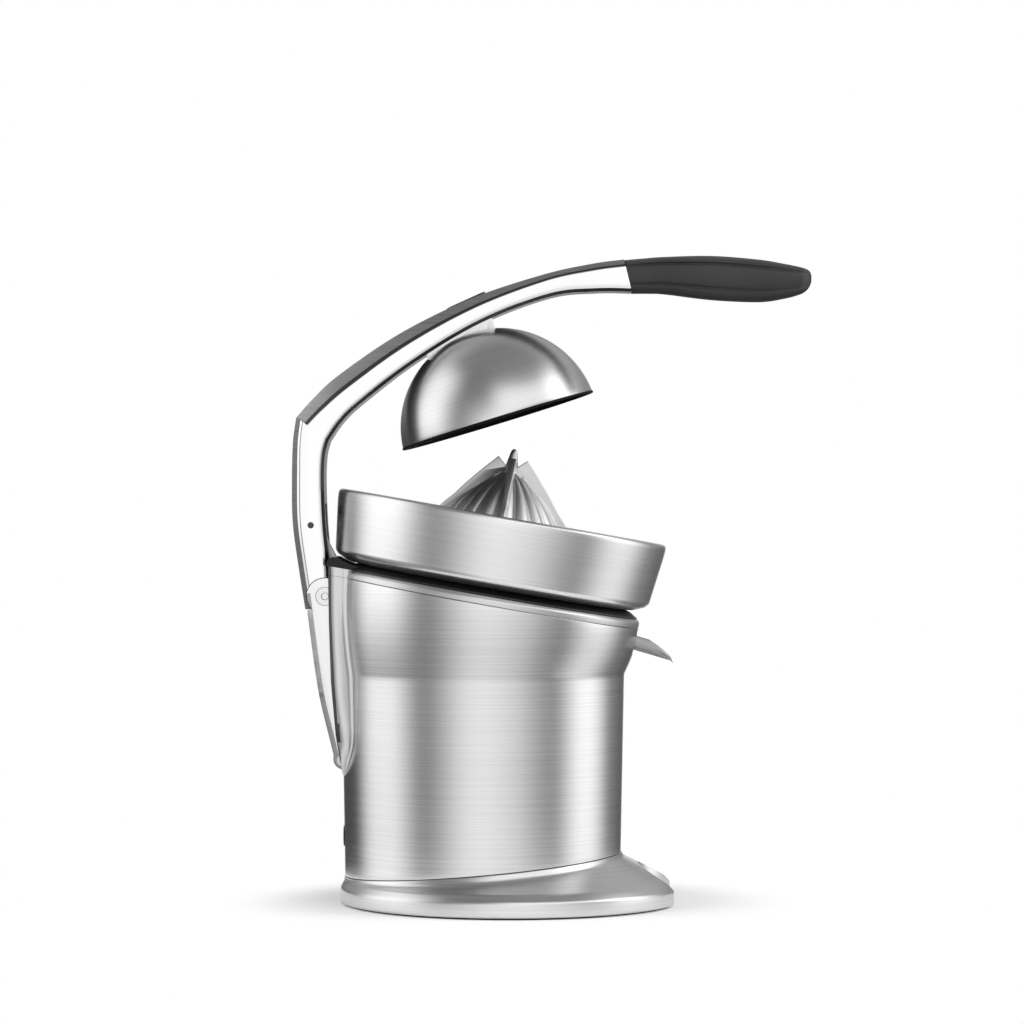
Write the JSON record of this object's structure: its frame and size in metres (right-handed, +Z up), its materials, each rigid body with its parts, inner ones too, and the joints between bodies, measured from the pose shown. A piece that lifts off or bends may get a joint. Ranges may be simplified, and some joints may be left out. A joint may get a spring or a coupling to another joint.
{
  "type": "lever citrus juice press",
  "caption": "Motor-driven citrus juice press: a folding lever brings a dome down over a turning reamer cone in a tilted bowl with a flip-up spout.",
  "frame": {"origin": "on the table plane, on the upright axis of the body", "axes": "+X to the front, where the spout is; +Z up; the press is symmetric across Y"},
  "size_m": [0.2953, 0.193, 0.3683],
  "materials": {
    "brushed_steel": "fine circumferential brushing",
    "bowl_steel": "fine circumferential brushing",
    "satin_cast": "satin metallic",
    "arm_cast": "satin, brushed on its top bevel",
    "link_steel": "plain machined",
    "fastener_steel": "bright plated",
    "cone_steel": "polished",
    "dome_steel": "brushed outside",
    "black_plastic": "satin black",
    "grip_black": "soft matt",
    "rubber_black": "matt",
    "gear_plastic": "natural nylon",
    "motor_steel": "plated can",
    "copper_part": "copper",
    "bronze_bush": "sintered bronze",
    "switch_red": "gloss"
  },
  "bodies": {
    "root": {"rubber_sole": "rubber_black", "base_plate": "motor_steel", "base_screws": "fastener_steel", "base_casting": "satin_cast", "body_shell": "brushed_steel", "cord_gland": "rubber_black", "column_casting": "satin_cast", "strut_pin": "link_steel", "link_foot_pin": "link_steel", "top_collar": "satin_cast", "deck": "black_plastic", "deck_screws": "fastener_steel", "spindle_seal": "rubber_black", "spindle_bushes": "bronze_bush", "gearbox_cover": "black_plastic", "gearbox_case": "black_plastic", "gearbox_screws": "fastener_steel", "idler_axle": "fastener_steel", "motor_can": "motor_steel", "motor_end_cap": "black_plastic", "motor_magnets": "motor_steel", "motor_bushes": "bronze_bush", "motor_screws": "fastener_steel", "micro_switch": "black_plastic", "outlet_chute": "black_plastic", "spout_pin": "link_steel"},
    "plunger": {"switch_plunger": "switch_red"},
    "spout": {"spout": "satin_cast"},
    "motor_rotor": {"motor_shaft": "fastener_steel", "motor_pinion": "bronze_bush", "armature": "copper_part", "commutator": "copper_part"},
    "idler": {"idler_gear": "gear_plastic"},
    "spindle": {"spindle_shaft": "fastener_steel", "output_gear": "gear_plastic", "spindle_clip": "link_steel"},
    "cone": {"reamer_cone": "cone_steel"},
    "bowl": {"juice_bowl": "bowl_steel"},
    "strainer": {"strainer": "bowl_steel"},
    "strut": {"strut": "arm_cast", "pivot_bolts": "fastener_steel", "pivot_washers": "link_steel"},
    "front_link": {"front_link": "link_steel"},
    "arm": {"arm_casting": "arm_cast", "link_head_pin": "link_steel", "link_spacers": "link_steel", "grip": "grip_black", "cover_plug": "black_plastic", "dome_mount": "satin_cast", "pressing_dome": "dome_steel", "dome_edge": "rubber_black", "dome_screws": "fastener_steel"}
  },
  "joints": [
    {"name": "lever", "type": "hinge", "parent": "strut", "child": "arm", "pos_m": [-0.0893, 0, 0.1746], "axis": [0, -1, 0], "range_deg": [-46.5, 0]},
    {"name": "strut_swing", "type": "hinge", "parent": "root", "child": "strut", "pos_m": [-0.0787, 0, 0.0826], "axis": [0, -1, 0], "range_deg": [-0.2, 20.84]},
    {"name": "link_swing", "type": "hinge", "parent": "root", "child": "front_link", "pos_m": [-0.078, 0, 0.1785], "axis": [0, -1, 0], "range_deg": [-0.2, 23.16]},
    {"name": "spindle_spin", "type": "hinge", "parent": "root", "child": "spindle", "pos_m": [0.00467, 0, 0.18195], "axis": [0.1736, 0, 0.9848], "continuous": true},
    {"name": "idler_spin", "type": "hinge", "parent": "root", "child": "idler", "pos_m": [-0.00054, 0.036, 0.15241], "axis": [0.1736, 0, 0.9848], "continuous": true},
    {"name": "motor_spin", "type": "hinge", "parent": "root", "child": "motor_rotor", "pos_m": [-0.00922, 0, 0.10317], "axis": [0.1736, 0, 0.9848], "continuous": true},
    {"name": "cone_lift", "type": "slide", "parent": "spindle", "child": "cone", "axis": [0.1736, 0, 0.9848], "range_m": [0, 0.02]},
    {"name": "bowl_lift", "type": "slide", "parent": "root", "child": "bowl", "axis": [0.1736, 0, 0.9848], "range_m": [0, 0.018]},
    {"name": "strainer_lift", "type": "slide", "parent": "bowl", "child": "strainer", "axis": [0.1736, 0, 0.9848], "range_m": [0, 0.012]},
    {"name": "spout_flip", "type": "hinge", "parent": "root", "child": "spout", "pos_m": [0.08055, 0, 0.14905], "axis": [0, -1, 0], "range_deg": [0, 20]},
    {"name": "switch_press", "type": "slide", "parent": "root", "child": "plunger", "axis": [-0.1736, 0, -0.9848], "range_m": [0, 0.001], "stiffness_N_per_m": 300, "springref_m": -0.001}
  ],
  "couplings": [
    {"joint": "strut_swing", "follows": "lever", "ratio": -0.43327},
    {"joint": "link_swing", "follows": "lever", "ratio": -0.48199},
    {"joint": "idler_spin", "follows": "spindle_spin", "ratio": -4},
    {"joint": "motor_spin", "follows": "spindle_spin", "ratio": 16}
  ]
}
